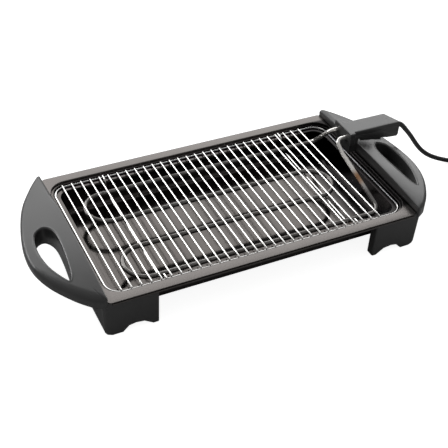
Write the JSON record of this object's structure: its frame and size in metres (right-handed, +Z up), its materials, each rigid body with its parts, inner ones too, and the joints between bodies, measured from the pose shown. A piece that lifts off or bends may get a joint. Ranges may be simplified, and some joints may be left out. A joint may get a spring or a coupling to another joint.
{
  "type": "electric table grill",
  "caption": "Open electric table grill with a wire rack over a heating element, a drip pan in a sheet rim, end handles, feet and a control box with a mains cord.",
  "frame": {"origin": "on the table, under the middle of the grill and its control box together", "axes": "+X along the grill to the control box end, +Y to the back, +Z up"},
  "size_m": [0.7382, 0.276, 0.089],
  "materials": {
    "handle_plastic": "satin moulded, fine grain",
    "rim_metal": "dark coated sheet, smooth",
    "pan_metal": "dark non-stick coating, glossy",
    "foot_plastic": "satin moulded",
    "box_plastic": "satin moulded",
    "rack_chrome": "bright plated wire",
    "element_steel": "grey oxidised tube, brighter at the leads",
    "screw_steel": "zinc plated",
    "ceramic": "unglazed ceramic",
    "cord_rubber": "smooth, slightly dull",
    "pin_brass": "nickel plated"
  },
  "bodies": {
    "base": {"left_handle": "handle_plastic", "right_handle": "handle_plastic", "rim_frame": "rim_metal", "front_left_foot": "foot_plastic", "front_right_foot": "foot_plastic", "back_left_foot": "foot_plastic", "back_right_foot": "foot_plastic", "left_end_beam": "foot_plastic", "right_end_beam": "foot_plastic", "front_left_screw": "screw_steel", "front_right_screw": "screw_steel", "back_left_screw": "screw_steel", "back_right_screw": "screw_steel"},
    "pan": {"drip_pan": "pan_metal", "drip_pan_floor": "pan_metal"},
    "cooking_unit": {"cooking_rack": "rack_chrome", "left_element_cradle": "rack_chrome", "right_element_cradle": "rack_chrome", "heating_element": "element_steel", "element_flange": "screw_steel", "control_box_cover": "box_plastic", "control_box_base": "box_plastic", "terminal_block": "ceramic", "thermal_cutout": "screw_steel", "bend_sleeve": "cord_rubber", "mains_cord": "cord_rubber", "cord_coil": "cord_rubber", "cord_tail": "cord_rubber", "plug_body": "cord_rubber", "plug_pins": "pin_brass"}
  },
  "joints": [
    {"name": "pan_lift", "type": "slide", "parent": "base", "child": "pan", "axis": [0, 0, 1], "range_m": [0, 0.06]},
    {"name": "unit_lift", "type": "slide", "parent": "pan", "child": "cooking_unit", "axis": [0, 0, 1], "range_m": [0, 0.08]}
  ]
}
